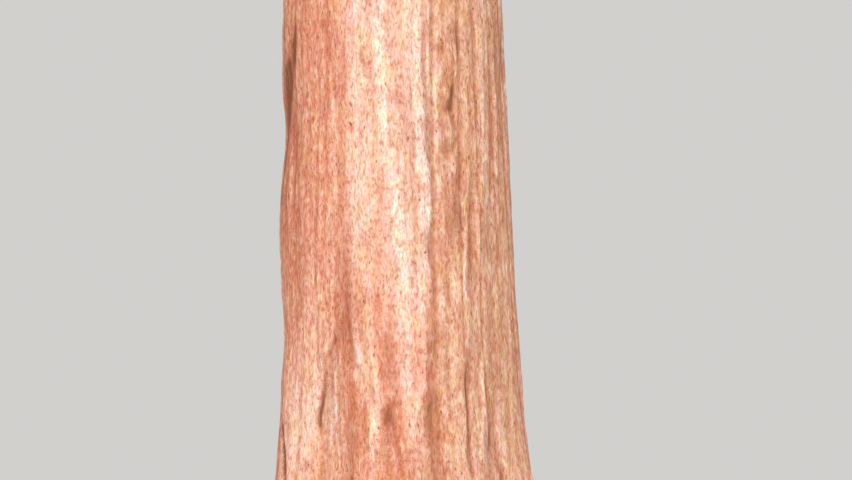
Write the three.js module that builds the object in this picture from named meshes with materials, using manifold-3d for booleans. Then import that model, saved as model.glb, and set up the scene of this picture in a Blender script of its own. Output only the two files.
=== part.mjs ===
// A mature giant sequoia, from the flat cut at ground level to the tip of its leader.
// Sizes are written in metres of the living tree, 66 m tall, and brought to this model by SCALE,
// because the model is a scaled tree 40 m tall. +Z is up, the origin is the middle of the ground cut,
// and the side that the photograph shows faces -Y.

import * as THREE from "three";
import { mergeVertices } from "three/addons/utils/BufferGeometryUtils.js";
import Module from "manifold-3d";

const wasm = await Module();
wasm.setup();

const TRUE_HEIGHT = 66;
const MODEL_HEIGHT = 40;
const SCALE = MODEL_HEIGHT / TRUE_HEIGHT;

// Millimetres of this model for metres of the living tree.
const metres = (size) => size * SCALE * 1000;

// Trunk
const TOP = metres(TRUE_HEIGHT);
const TRUNK_TIP = metres(61.2);
const BOLE_RADIUS = metres(1.95);
const TIP_RADIUS = metres(0.11);
const BOLE_TAPER = 1.25;
const FLARE = metres(0.75);
const FLARE_HEIGHT = metres(1.0);
const BUTTRESS_HEIGHT = metres(1.5);
const BUTTRESSES = [
  { count: 3, share: 0.05, turn: 1.2 },
  { count: 5, share: 0.1, turn: 1.7 },
  { count: 8, share: 0.07, turn: 1.9 },
];
const SWEEP = metres(0.58);
const SWEEP_TURNS = 0.45;
const TRUNK_SIDES = 34;
const TRUNK_RINGS = 17;
const RING_CROWDING = 1.7;

// Crown: each mass sits a golden turn on from the one below it
const CROWN_FOOT = metres(25.5);
const CROWN_RADIUS = metres(8.9);
const CROWN_FOOT_SHARE = 0.78;
const CROWN_WIDENS_BY = 0.25;
const CROWN_ROUNDNESS = 2.4;
const CROWN_FULLNESS = 0.75;
const MASSES = 36;
const TOP_MASS_CENTRE = metres(61.3);
const MASS_CROWDING = 0.92;
const GOLDEN_TURN = Math.PI * (3 - Math.sqrt(5));
const MASS_SIZE_FOOT = metres(3.4);
const MASS_SIZE_TOP = metres(2.6);
const MASS_SHAPE = { out: 0.92, across: 1.15, up: 0.96 };
const MASS_GAP = 45;
const TRUNK_ROOM = 0.35;
const MASS_VARIETY = { size: 0.1, turn: 0.16, height: metres(0.4), reach: 0.065 };
const LEADER_WIDTH = 0.95;

// Boughs: the masses above them grow on stems of their own
const BOUGHS = 22;
const BOUGH_RADIUS_FOOT = metres(0.44);
const BOUGH_RADIUS_TOP = metres(0.18);
const BOUGH_TIP_SHARE = 0.42;
const BOUGH_TAPER = 0.8;
const COLLAR_SWELL = 0.4;
const COLLAR_LENGTH = 0.11;
const BOUGH_RISE_FOOT = metres(-0.5);
const BOUGH_RISE_TOP = metres(1.5);
const BOUGH_SAG = 0.3;
const BOUGH_VARIETY = { rise: metres(0.3), aside: metres(0.5) };
const TIP_DEPTH = { out: 0.66, up: 0.34 };
const ROOT_DEPTH = 0.35;
const STEM_RADIUS = metres(0.12);
const STEM_TAPER = 0.6;
const LIMB_SIDES = 6;
const LIMB_RINGS = 5;
const CURVE_CHECKS = 10;

// Foliage
const LOBES = 3;
const LOBE_REACH = 0.46;
const LOBE_OUTWARD = 0.11;
const LOBE_VARIETY = { turn: 0.3, outward: 0.23 };
const LOBE_SIZE = 0.5;
const CORE_DETAIL = 2;
const CORE_LEAST = 0.42;
const CORE_VARIETY = 0.09;
const SPRAYS_A_LOBE = 3;
const SPRAY_TRIES = 13;
const SPRAY_ROOT = 0.3;
const SPRAY_TIP = 1.05;
const SPRAY_SHORTEST = 0.4;
const SPRAY_DROOP = -0.5;
const SPRAY_WIDTH = 0.3;
const SPRAY_THICKNESS = 0.1;
const SPRAY_WIDEST = 0.38;
const TWIG_SIDES = 3;
const TWIG_ROOT = 0.35;
const TWIG_SHARE = 0.5;
const SMALLEST_STEP = 8;

const CLEARANCE = 0.3;
const FACETED_CLEARANCE = 0.45;

const UP = new THREE.Vector3(0, 0, 1);
const BARK = new THREE.MeshStandardMaterial({ color: 0xc48f78, roughness: 0.95, metalness: 0 });
const FOLIAGE = new THREE.MeshStandardMaterial({ color: 0x5b6f35, roughness: 0.8, metalness: 0 });

// One repeatable stream of numbers from 0 to 1 for each seed.
function seededStream(seed) {
  let state = Math.imul(seed, 2654435761) >>> 0;
  return () => {
    state = (Math.imul(state, 1664525) + 1013904223) >>> 0;
    return state / 4294967296;
  };
}

const mix = (a, b, share) => a + (b - a) * share;
const around = (middle, spread, draw) => mix(middle - spread, middle + spread, draw());

// The trunk leans a little to -X and comes back towards its tip.
function trunkAxis(height) {
  return new THREE.Vector3(-SWEEP * Math.sin((2 * Math.PI * SWEEP_TURNS * height) / TRUNK_TIP), 0, height);
}

function boleRadius(height) {
  const climb = Math.pow(Math.min(1, height / TRUNK_TIP), BOLE_TAPER);
  return mix(BOLE_RADIUS, TIP_RADIUS, climb) + FLARE * Math.exp(-height / FLARE_HEIGHT);
}

// The flare stands out in root buttresses, which fade up the bole.
function trunkRadius(height, turn) {
  const fade = Math.exp(-height / BUTTRESS_HEIGHT);
  const lobes = BUTTRESSES.reduce((sum, b) => sum + b.share * Math.cos(b.count * turn + b.turn), 0);
  return boleRadius(height) * (1 + lobes * fade);
}

function bareGeometry(geometry) {
  geometry.deleteAttribute("normal");
  geometry.deleteAttribute("uv");
  return mergeVertices(geometry, 1e-3);
}

function solidFrom(geometry) {
  const bare = bareGeometry(geometry);
  return new wasm.Manifold(
    new wasm.Mesh({
      numProp: 3,
      vertProperties: new Float32Array(bare.attributes.position.array),
      triVerts: new Uint32Array(bare.index.array),
    }),
  );
}

function meshFrom(name, solid, material) {
  const mesh = solid.getMesh();
  const geometry = new THREE.BufferGeometry();
  geometry.setAttribute("position", new THREE.BufferAttribute(new Float32Array(mesh.vertProperties), 3));
  geometry.setIndex(new THREE.BufferAttribute(new Uint32Array(mesh.triVerts), 1));
  geometry.computeVertexNormals();
  const made = new THREE.Mesh(geometry, material);
  made.name = name;
  return made;
}

// Moves each vertex of a unit cylinder that stands on Z from 0 to 1.
function reshapedCylinder(sides, rings, place) {
  const geometry = new THREE.CylinderGeometry(1, 1, 1, sides, rings);
  geometry.rotateX(Math.PI / 2);
  geometry.translate(0, 0, 0.5);
  const position = geometry.attributes.position;
  for (let i = 0; i < position.count; i++) {
    const spread = Math.hypot(position.getX(i), position.getY(i));
    const turn = Math.atan2(position.getY(i), position.getX(i));
    const point = place(spread, turn, position.getZ(i));
    position.setXYZ(i, point.x, point.y, point.z);
  }
  return geometry;
}

function trunkSolid(clearance) {
  return solidFrom(
    reshapedCylinder(TRUNK_SIDES, TRUNK_RINGS, (spread, turn, share) => {
      const height = TRUNK_TIP * Math.pow(share, RING_CROWDING);
      const radius = spread * (trunkRadius(height, turn) + clearance);
      return trunkAxis(height).add(new THREE.Vector3(radius * Math.cos(turn), radius * Math.sin(turn), 0));
    }),
  );
}

// A limb with a tapering section along a curve. The section stays square to the curve.
function limbSolid(curve, side, radiusAt, sides, rings) {
  return solidFrom(
    reshapedCylinder(sides, rings, (spread, turn, share) => {
      const radius = spread * radiusAt(share);
      const along = curve.getTangent(share);
      const first = side.clone().addScaledVector(along, -side.dot(along)).normalize();
      const second = along.clone().cross(first);
      return curve
        .getPoint(share)
        .addScaledVector(first, radius * Math.cos(turn))
        .addScaledVector(second, radius * Math.sin(turn));
    }),
  );
}

// How far the crown reaches from the trunk at a share of the way up it.
function crownRadius(share) {
  const dome = Math.pow(1 - Math.pow(share, CROWN_ROUNDNESS), CROWN_FULLNESS);
  return CROWN_RADIUS * dome * mix(CROWN_FOOT_SHARE, 1, Math.min(1, share / CROWN_WIDENS_BY));
}

// A mass of foliage: its middle, its directions out of the tree and across, and half its size each way.
function massAt(index) {
  const draw = seededStream(101 + index);
  const share = Math.pow(index / (MASSES - 1), MASS_CROWDING);
  const size = mix(MASS_SIZE_FOOT, MASS_SIZE_TOP, share) * around(1, MASS_VARIETY.size, draw);
  const turn = around(index * GOLDEN_TURN, MASS_VARIETY.turn, draw);
  const height = around(mix(CROWN_FOOT + size, TOP_MASS_CENTRE, share), MASS_VARIETY.height, draw);
  const crownShare = (height - CROWN_FOOT) / (TOP - CROWN_FOOT);
  const reach = crownRadius(crownShare) * around(1, MASS_VARIETY.reach, draw);
  const distance = Math.max(boleRadius(height) + size * TRUNK_ROOM, reach - size * MASS_SHAPE.out);
  const out = new THREE.Vector3(Math.cos(turn), Math.sin(turn), 0);
  return {
    index,
    share,
    size,
    out,
    across: new THREE.Vector3(-out.y, out.x, 0),
    distance,
    middle: trunkAxis(height).addScaledVector(out, distance),
    half: [size * MASS_SHAPE.out, size * MASS_SHAPE.across, size * MASS_SHAPE.up],
    outward: LOBE_OUTWARD,
    planes: [],
  };
}

// The leader is a mass that stands on the trunk's tip and reaches the full height.
function leaderMass() {
  const half = (TOP - TRUNK_TIP) / 2;
  return {
    index: MASSES,
    share: 1,
    size: half,
    out: new THREE.Vector3(1, 0, 0),
    across: new THREE.Vector3(0, 1, 0),
    middle: trunkAxis(TRUNK_TIP).addScaledVector(UP, half),
    half: [half * LEADER_WIDTH, half * LEADER_WIDTH, half],
    outward: 0,
    planes: [],
    limb: { tip: trunkAxis(TRUNK_TIP), heading: UP, radius: TIP_RADIUS, path: [] },
  };
}

// A bough leaves the trunk from inside its side, sags, and turns up at its tip.
function boughCurve(mass) {
  const draw = seededStream(307 + mass.index);
  const tipDistance = mass.distance - mass.half[0] * TIP_DEPTH.out;
  const tipHeight = mass.middle.z - mass.half[2] * TIP_DEPTH.up;
  const rise = mix(BOUGH_RISE_FOOT, BOUGH_RISE_TOP, mass.share) + BOUGH_VARIETY.rise * draw();
  const rootHeight = tipHeight - rise;
  const rootDistance = boleRadius(rootHeight);
  const sag = (tipDistance - rootDistance) * BOUGH_SAG;
  const aside = around(0, BOUGH_VARIETY.aside, draw);
  const at = (distance, height, sideways) =>
    trunkAxis(height).addScaledVector(mass.out, distance).addScaledVector(mass.across, sideways);
  return new THREE.CubicBezierCurve3(
    at(rootDistance * ROOT_DEPTH, rootHeight, 0),
    at(mix(rootDistance, tipDistance, 0.4), rootHeight - sag, aside),
    at(mix(rootDistance, tipDistance, 0.8), mix(rootHeight, tipHeight, 0.5) - sag, aside),
    at(tipDistance, tipHeight, 0),
  );
}

function limbOf(mass) {
  const curve = boughCurve(mass);
  const root = mix(BOUGH_RADIUS_FOOT, BOUGH_RADIUS_TOP, mass.share);
  const radiusAt = (share) => {
    const collar = 1 + COLLAR_SWELL * Math.exp(-share / COLLAR_LENGTH);
    return root * mix(1, BOUGH_TIP_SHARE, Math.pow(share, BOUGH_TAPER)) * collar;
  };
  const shares = Array.from({ length: CURVE_CHECKS + 1 }, (_, k) => k / CURVE_CHECKS);
  return {
    curve,
    radiusAt,
    tip: curve.getPoint(1),
    heading: curve.getTangent(1),
    radius: radiusAt(1),
    path: shares.map((share) => ({ point: curve.getPoint(share), radius: radiusAt(share) })),
  };
}

// A point as shares of half the mass's size along its three directions.
function withinMass(mass, point) {
  const away = point.clone().sub(mass.middle);
  return new THREE.Vector3(
    away.dot(mass.out) / mass.half[0],
    away.dot(mass.across) / mass.half[1],
    away.z / mass.half[2],
  );
}

function pointOfMass(mass, shares) {
  return mass.middle
    .clone()
    .addScaledVector(mass.out, shares.x * mass.half[0])
    .addScaledVector(mass.across, shares.y * mass.half[1])
    .addScaledVector(UP, shares.z * mass.half[2]);
}

function insideSpace(mass, point) {
  const sound = mass.planes.every((plane) => plane.distanceToPoint(point) >= 0);
  return sound && withinMass(mass, point).length() <= 1;
}

// The furthest point on the way from one point to another that is still in the mass's space.
function heldInside(mass, from, to) {
  if (insideSpace(mass, to)) return to.clone();
  let [inside, outside] = [0, 1];
  for (let halving = 0; halving < 12; halving++) {
    const tried = (inside + outside) / 2;
    if (insideSpace(mass, from.clone().lerp(to, tried))) inside = tried;
    else outside = tried;
  }
  return from.clone().lerp(to, inside);
}

// A plane that keeps a mass some way short of a point.
function keepShortOf(mass, point, gap) {
  const towards = point.clone().sub(mass.middle);
  const reach = towards.length() - gap;
  towards.normalize();
  const foot = mass.middle.clone().addScaledVector(towards, reach);
  mass.planes.push(new THREE.Plane().setFromNormalAndCoplanarPoint(towards.negate(), foot));
}

// Each mass keeps to its own side of the trunk, of its own bough's tip, of its neighbours and their boughs.
function shareOutSpace(masses) {
  for (const mass of masses) {
    const lowest = boleRadius(mass.middle.z - mass.half[2]);
    const besideTrunk = trunkAxis(mass.middle.z).addScaledVector(mass.out, lowest + MASS_GAP);
    if (mass.distance) mass.planes.push(new THREE.Plane().setFromNormalAndCoplanarPoint(mass.out, besideTrunk));
    if (mass.limb) {
      const start = mass.limb.tip.clone().addScaledVector(mass.limb.heading, CLEARANCE);
      mass.planes.push(new THREE.Plane().setFromNormalAndCoplanarPoint(mass.limb.heading, start));
    }
    for (const other of masses.filter((candidate) => candidate !== mass)) {
      const share = mass.size / (mass.size + other.size);
      keepShortOf(mass, mass.middle.clone().lerp(other.middle, share), MASS_GAP);
      const near = other.limb ? other.limb.path : [];
      near
        .filter(({ point }) => point.distanceTo(mass.middle) < mass.size * 1.5)
        .forEach(({ point, radius }) => keepShortOf(mass, point, radius + MASS_GAP));
    }
  }
}

// The middles of a mass's clumps, spread round the line that leads out of the tree.
function lobeMiddles(mass, draw) {
  const first = draw() * 2 * Math.PI;
  return Array.from({ length: LOBES }, (_, k) => {
    const turn = around(first + (k * 2 * Math.PI) / LOBES, LOBE_VARIETY.turn, draw);
    const outward = around(mass.outward, LOBE_VARIETY.outward, draw);
    const shares = new THREE.Vector3(outward, LOBE_REACH * Math.cos(turn), LOBE_REACH * Math.sin(turn));
    return heldInside(mass, mass.middle, pointOfMass(mass, shares));
  });
}

// How far the clumps swell along a heading from the middle of the mass.
function reachOfLobes(lobes, heading) {
  return lobes.reduce((furthest, lobe) => {
    const along = lobe.dot(heading);
    const spare = LOBE_SIZE ** 2 - (lobe.lengthSq() - along ** 2);
    return spare < 0 ? furthest : Math.max(furthest, along + Math.sqrt(spare));
  }, CORE_LEAST);
}

// The dense inner part of a mass: one uneven body that swells at each clump.
function coreSolid(mass, middles, draw) {
  const lobes = middles.map((middle) => withinMass(mass, middle));
  const bare = bareGeometry(new THREE.IcosahedronGeometry(1, CORE_DETAIL));
  const position = bare.attributes.position;
  for (let i = 0; i < position.count; i++) {
    const heading = new THREE.Vector3().fromBufferAttribute(position, i).normalize();
    const reach = reachOfLobes(lobes, heading) * around(1, CORE_VARIETY, draw);
    const point = heldInside(mass, mass.middle, pointOfMass(mass, heading.multiplyScalar(reach)));
    position.setXYZ(i, point.x, point.y, point.z);
  }
  return solidFrom(bare);
}

// A spray of needles: a blade of eight faces from root to tip, widest nearer its root.
function sprayBlade(root, tip, roll) {
  const length = root.distanceTo(tip);
  const blade = new THREE.OctahedronGeometry(1, 0);
  blade.scale((length * SPRAY_WIDTH) / 2, (length * SPRAY_THICKNESS) / 2, 1);
  const position = blade.attributes.position;
  for (let i = 0; i < position.count; i++) {
    const end = Math.round(position.getZ(i));
    position.setZ(i, length * (end === 0 ? SPRAY_WIDEST : (end + 1) / 2));
  }
  blade.rotateZ(roll);
  const towards = tip.clone().sub(root).normalize();
  blade.applyQuaternion(new THREE.Quaternion().setFromUnitVectors(UP, towards));
  return blade.translate(root.x, root.y, root.z);
}

function keepsInside(mass, geometry) {
  const position = geometry.attributes.position;
  const corners = Array.from({ length: position.count }, (_, i) => i);
  return corners.every((i) => insideSpace(mass, new THREE.Vector3().fromBufferAttribute(position, i)));
}

// Sprays that stand out of a clump. One that would leave the mass's space is skipped.
function sprayBlades(mass, middle, draw) {
  const made = [];
  for (let attempt = 0; attempt < SPRAY_TRIES && made.length < SPRAYS_A_LOBE; attempt++) {
    const turn = draw() * 2 * Math.PI;
    const climb = mix(SPRAY_DROOP, 1, draw());
    const roll = draw() * Math.PI;
    const flat = Math.sqrt(1 - climb * climb);
    const heading = new THREE.Vector3(flat * Math.cos(turn), flat * Math.sin(turn), climb);
    const outside = middle.clone().sub(mass.middle).addScaledVector(mass.out, mass.size * mass.outward);
    if (heading.dot(outside) < 0) continue;
    const root = middle.clone().addScaledVector(heading, mass.size * SPRAY_ROOT);
    const tip = heldInside(mass, middle, middle.clone().addScaledVector(heading, mass.size * SPRAY_TIP));
    if (!insideSpace(mass, root) || root.distanceTo(tip) < mass.size * SPRAY_SHORTEST) continue;
    const blade = sprayBlade(root, tip, roll);
    if (keepsInside(mass, blade)) made.push(blade);
  }
  return made;
}

// Drops a scrap that hangs loose.
const largestBody = (solid) => solid.decompose().sort((a, b) => b.volume() - a.volume())[0];

// The stem that carries a mass: on from its limb's tip, or out of the trunk where it has no bough.
function stemSolid(mass, trunkWithClearance) {
  const curve = mass.limb ? null : boughCurve(mass);
  const heading = mass.limb ? mass.limb.heading : curve.getTangent(0);
  const start = mass.limb ? mass.limb.tip.clone().addScaledVector(heading, CLEARANCE) : curve.getPoint(0);
  const bend = start.clone().addScaledVector(heading, start.distanceTo(mass.middle) * 0.4);
  const stem = new THREE.QuadraticBezierCurve3(start, bend, mass.middle);
  const radius = mass.limb ? mass.limb.radius : STEM_RADIUS;
  const sides = mass.limb ? LIMB_SIDES : TWIG_SIDES;
  const solid = limbSolid(stem, mass.across, (share) => radius * mix(1, STEM_TAPER, share), sides, 2);
  return { solid: mass.limb ? solid : solid.subtract(trunkWithClearance), start, radius };
}

// A mass: one stem, a twig to the middle of each clump, the dense core and its sprays.
function foliageSolid(mass, trunkWithClearance) {
  const draw = seededStream(500 + mass.index);
  const stem = stemSolid(mass, trunkWithClearance);
  const fork = mass.middle.clone().lerp(stem.start, TWIG_ROOT);
  const middles = lobeMiddles(mass, draw);
  const pieces = [coreSolid(mass, middles, draw)];
  for (const middle of middles) {
    const twig = new THREE.LineCurve3(fork, middle);
    const radiusAt = (share) => stem.radius * TWIG_SHARE * mix(1, TWIG_SHARE, share);
    pieces.push(limbSolid(twig, mass.across, radiusAt, TWIG_SIDES, 1));
    pieces.push(...sprayBlades(mass, middle, draw).map(solidFrom));
  }
  const clump = wasm.Manifold.union(pieces).simplify(SMALLEST_STEP);
  return largestBody(clump.add(stem.solid));
}

// The leader's spire: one upright spray that ends at the full height.
function spireSolid(leader) {
  const root = leader.middle.clone().lerp(leader.limb.tip, 0.5);
  const top = leader.limb.tip.clone();
  top.z = TOP;
  return solidFrom(sprayBlade(root, top, 0));
}

const numbered = (word, index) => word + "_" + String(index + 1).padStart(2, "0");

const tree = new THREE.Group();
tree.name = "giant_sequoia";

const trunkWithClearance = trunkSolid(FACETED_CLEARANCE);
const masses = Array.from({ length: MASSES }, (_, index) => massAt(index));
const leader = leaderMass();
masses.slice(0, BOUGHS).forEach((mass) => {
  mass.limb = limbOf(mass);
});
shareOutSpace([...masses, leader]);

tree.add(meshFrom("trunk", trunkSolid(0), BARK));
masses.slice(0, BOUGHS).forEach((mass) => {
  const bough = limbSolid(mass.limb.curve, mass.across, mass.limb.radiusAt, LIMB_SIDES, LIMB_RINGS);
  tree.add(meshFrom(numbered("bough", mass.index), bough.subtract(trunkWithClearance), BARK));
});
masses.forEach((mass) => {
  tree.add(meshFrom(numbered("foliage", mass.index), foliageSolid(mass, trunkWithClearance), FOLIAGE));
});
const leaderFoliage = largestBody(foliageSolid(leader, trunkWithClearance).add(spireSolid(leader)));
tree.add(meshFrom("leader_foliage", leaderFoliage, FOLIAGE));

export default tree;
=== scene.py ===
# %% [markdown]
# # A giant sequoia, dressed from the ground cut to the leader
# The solid model holds the tree's construction: a trunk, its boughs and a block for each mass of foliage.
# This notebook gives each of them its real surface. The bark becomes a mesh with ridges and furrows, and
# each block of foliage becomes twigs and sprays of needles. Everything is in metres, in the solid model's
# frame: +Z up, the origin at the middle of the ground cut, the photographed side towards -Y.

# %% The frame and the tools
import math

import bmesh
import bpy
import numpy as np
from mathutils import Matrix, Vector


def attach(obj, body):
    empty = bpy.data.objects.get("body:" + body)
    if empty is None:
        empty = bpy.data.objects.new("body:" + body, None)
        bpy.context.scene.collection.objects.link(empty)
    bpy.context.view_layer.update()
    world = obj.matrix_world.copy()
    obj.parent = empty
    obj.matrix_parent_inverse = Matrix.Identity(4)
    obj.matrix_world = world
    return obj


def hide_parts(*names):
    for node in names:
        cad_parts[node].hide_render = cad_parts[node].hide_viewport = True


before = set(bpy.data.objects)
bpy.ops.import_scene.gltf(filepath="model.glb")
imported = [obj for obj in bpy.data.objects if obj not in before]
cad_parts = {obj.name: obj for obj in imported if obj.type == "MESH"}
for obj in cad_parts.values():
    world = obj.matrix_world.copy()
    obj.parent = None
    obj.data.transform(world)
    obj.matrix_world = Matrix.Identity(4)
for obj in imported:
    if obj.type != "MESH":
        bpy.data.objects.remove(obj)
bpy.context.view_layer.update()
scene = bpy.context.scene


def add_object(name, data):
    made = bpy.data.objects.new(name, data)
    scene.collection.objects.link(made)
    return made


# %% [markdown]
# ## Camera
# The view is that of a long lens at eye height, looking slightly up, a little to the right of the trunk's
# middle. A long lens flattens perspective, so the trunk's sides run almost parallel. The lens and the sensor
# are in millimetres, and the distance follows from them and from how wide the view is at the trunk.

# %% Camera
LENS = 100
SENSOR = 36
VIEW_WIDTH = 8.23
CAMERA_DISTANCE = VIEW_WIDTH * LENS / SENSOR
EYE_HEIGHT = 0.97
LOOK_AT = Vector((0.18, 0.0, 3.40))

camera_data = bpy.data.cameras.new("camera")
camera_data.lens = LENS
camera_data.sensor_width = SENSOR
camera = add_object("camera", camera_data)
camera.location = (LOOK_AT.x, -CAMERA_DISTANCE, EYE_HEIGHT)
camera.rotation_euler = (LOOK_AT - camera.location).to_track_quat("-Z", "Y").to_euler()
scene.camera = camera
print("camera distance:", round(CAMERA_DISTANCE, 2))

# %% [markdown]
# ## The trunk's measures
# The solid model works the trunk out from a few sizes of the living tree, 66 m tall, brought to 40 m. The
# same rule is written again here, so that the bark, the limbs and the foliage start from the same places.

# %% The trunk's measures
SCALE = 40 / 66
TOP = 66 * SCALE
TRUNK_TIP = 61.2 * SCALE
BOLE_RADIUS = 1.95 * SCALE
TIP_RADIUS = 0.11 * SCALE
BOLE_TAPER = 1.25
FLARE = 0.75 * SCALE
FLARE_HEIGHT = 1.0 * SCALE
BUTTRESS_HEIGHT = 1.5 * SCALE
BUTTRESSES = [(3, 0.05, 1.2), (5, 0.10, 1.7), (8, 0.07, 1.9)]
SWEEP = 0.58 * SCALE
SWEEP_TURNS = 0.45
UP = np.array([0.0, 0.0, 1.0])


def mix(a, b, share):
    return a + (b - a) * share


def trunk_axis(height):
    height = np.asarray(height, float)
    lean = -SWEEP * np.sin(2 * math.pi * SWEEP_TURNS * height / TRUNK_TIP)
    return np.stack([lean, np.zeros_like(height), height], axis=-1)


def bole_radius(height):
    climb = np.clip(np.asarray(height, float) / TRUNK_TIP, 0, 1) ** BOLE_TAPER
    return mix(BOLE_RADIUS, TIP_RADIUS, climb) + FLARE * np.exp(-np.asarray(height) / FLARE_HEIGHT)


def trunk_radius(height, turn):
    lobes = sum(share * np.cos(count * turn + start) for count, share, start in BUTTRESSES)
    return bole_radius(height) * (1 + lobes * np.exp(-height / BUTTRESS_HEIGHT))


print("trunk radius at breast height:", round(float(bole_radius(1.37 * SCALE)), 3))

# %% [markdown]
# ## Noise that runs round a trunk
# Bark relief has to close on itself where the trunk's two edges meet. Value noise on a grid that wraps
# does that: each cell's corner holds a random number, and points between them are blended smoothly. Few
# cells up the trunk and many round it stretch the pattern along the fibres. A pattern gives its cells round
# the trunk, its cells up each metre and its seed, and whatever else its use needs.

# %% Noise round the trunk


def smooth_share(value):
    return value * value * (3 - 2 * value)


def bark_noise(turn, height, pattern):
    cells_round = pattern["round"]
    rows = int(TOP * pattern["a_metre"]) + 3
    corners = np.random.default_rng(pattern["seed"]).random((rows, cells_round))
    across = (turn / (2 * math.pi)) % 1 * cells_round
    along = np.clip(height * pattern["a_metre"], 0, rows - 2)
    column = np.floor(across).astype(int)
    row = np.floor(along).astype(int)
    left, right = column % cells_round, (column + 1) % cells_round
    share = smooth_share(across - column)
    low = mix(corners[row, left], corners[row, right], share)
    high = mix(corners[row + 1, left], corners[row + 1, right], share)
    return mix(low, high, smooth_share(along - row))


sample = bark_noise(np.array(1.0), np.array(2.0), {"round": 9, "a_metre": 1.0, "seed": 1})
print("noise sample:", round(float(sample), 3))

# %% [markdown]
# ## Furrows that the photograph shows
# The photographed side has its own marks: the edge of a pale ridge right of the middle, shaded grooves
# towards the right, a dark groove high on the left, and a curved furrow and a crack low on the left. Each
# has a depth and a width in metres, and a path of (degrees to the right of the front, height in metres). A
# depth below 0 makes a rib. A mark with a side is a step: sharp at its path, running out to the right. A
# tint says how much painted shade a mark gets over its darker bark, and above 1 it paints deep shadow. The
# heights are those in the plane of the trunk's middle, as the camera sees them.

# %% Furrows of the photographed side
RUNS_OUT = 0.18


def mark(name, depth, width, path, side=0, tint=0, runs_out=RUNS_OUT):
    return {"name": name, "depth": depth, "width": width, "path": path,
            "side": side, "tint": tint, "runs_out": runs_out}


FURROWS = [
    mark("edge of the pale ridge", 0.024, 0.18, side=1, tint=0.25, path=[
        (2, 0.5), (5, 1.14), (10.2, 1.73), (14.4, 2.34), (17.6, 3.22), (18.7, 4.1), (16.3, 5.2), (14, 6.8)]),
    mark("shaded groove", 0.010, 0.040, tint=0.2, path=[
        (30, 3.6), (32.2, 4.0), (31.8, 4.5), (29.5, 4.7), (31.5, 4.95), (33.0, 5.1)]),
    mark("low groove", 0.024, 0.12, side=1, tint=0.3, runs_out=0.9, path=[
        (27, 0.4), (29.7, 1.17), (32.3, 1.85), (34.4, 2.54), (36, 3.3)]),
    mark("right groove", 0.006, 0.040, tint=0.3, path=[
        (37, 2.9), (38.5, 3.3), (39.5, 4.1), (40, 4.9), (40.5, 5.7), (41, 6.8)]),
    mark("far right groove", 0.012, 0.060, side=1, tint=0.3, path=[
        (41, 0.4), (44.1, 1.1), (47.1, 2.1), (52.2, 3.3), (56.2, 4.5), (60.1, 5.7), (62, 6.8)]),
    mark("edge groove", 0.010, 0.040, tint=0.3, path=[
        (50, 1.6), (53.8, 2.1), (58.3, 3.3), (63.6, 4.5), (67, 5.6)]),
    # The dark groove and the crack have tints above 1: painted deep shadow.
    mark("dark groove", 0.020, 0.080, tint=1.8, runs_out=0.6, path=[
        (-82, 3.6), (-77.5, 4.15), (-74, 4.6), (-70, 4.89), (-65.5, 5.11), (-61, 5.38), (-58, 5.7)]),
    mark("curved furrow", 0.030, 0.13, side=1, tint=0.30, path=[
        (-42, 0.5), (-41.6, 1.08), (-40.8, 1.9), (-35.1, 2.34), (-31.1, 2.47), (-26.8, 2.67)]),
    mark("line of the curved furrow", 0.006, 0.018, tint=0.4, path=[
        (-41.5, 1.5), (-41.3, 1.79), (-41, 2.0), (-38.6, 2.25), (-33.9, 2.41), (-31, 2.6)]),
    mark("crack", 0.022, 0.030, tint=1.8, path=[
        (-58, 0.4), (-60.5, 1.08), (-62.5, 1.27), (-65.5, 1.46), (-67.5, 1.68)]),
    mark("middle rib", -0.022, 0.055, path=[
        (-17, 0.6), (-15.5, 1.14), (-12, 1.46), (-11.5, 1.85), (-18, 2.18), (-22, 2.7)]),
    mark("rib of the pale ridge", -0.026, 0.06, path=[
        (3, 0.7), (6.4, 1.2), (9, 1.6), (12.5, 2.1), (15, 2.7)]),
    mark("rib of the low groove", -0.014, 0.032, path=[
        (25.8, 0.4), (28.5, 1.17), (31.1, 1.85), (33.2, 2.54), (34.8, 3.5)]),
    mark("short right rib", -0.018, 0.028, path=[(38, 1.2), (41, 1.85), (43.7, 2.6), (45, 3.1)]),
    mark("long right rib", -0.016, 0.032, path=[(43.5, 3.0), (45.5, 3.8), (48, 4.6), (50, 5.4), (52, 6.6)]),
    mark("far right rib", -0.016, 0.032, path=[(50, 1.5), (55, 2.4), (58.6, 3.4), (61, 4.2), (63, 5.0)]),
]
PALE_RIDGE = FURROWS[0]
print("furrows:", ", ".join(furrow_and_shade["name"] for furrow_and_shade in FURROWS))

# %% The shape of a furrow
EDGE_SOFTNESS = 0.045
FURROW_BREAKS = {"round": 24, "a_metre": 3.0, "seed": 10, "gain": 2.0, "most": 1.6, "aside": 0.09}


def degrees_from_front(turn):
    return (np.degrees(turn) + 270) % 360 - 180


def height_in_photo(turn, height):
    """Where the camera sees a point of the bark, as a height in the plane of the trunk's middle."""
    nearer = bole_radius(height) * np.clip(-np.sin(turn), 0, 1)
    return EYE_HEIGHT + (height - EYE_HEIGHT) * CAMERA_DISTANCE / (CAMERA_DISTANCE - nearer)


def from_path(path, turn, seen):
    """The angle by which each point lies right of a path, and how far inside the path's ends it is."""
    degrees, heights = np.array(path, float).T
    aside = np.radians(degrees_from_front(turn) - np.interp(seen, heights, degrees))
    return aside, np.minimum(seen - heights[0], heights[-1] - seen)


def bell(distance, width):
    return np.exp(-((distance / width) ** 2))


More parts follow.
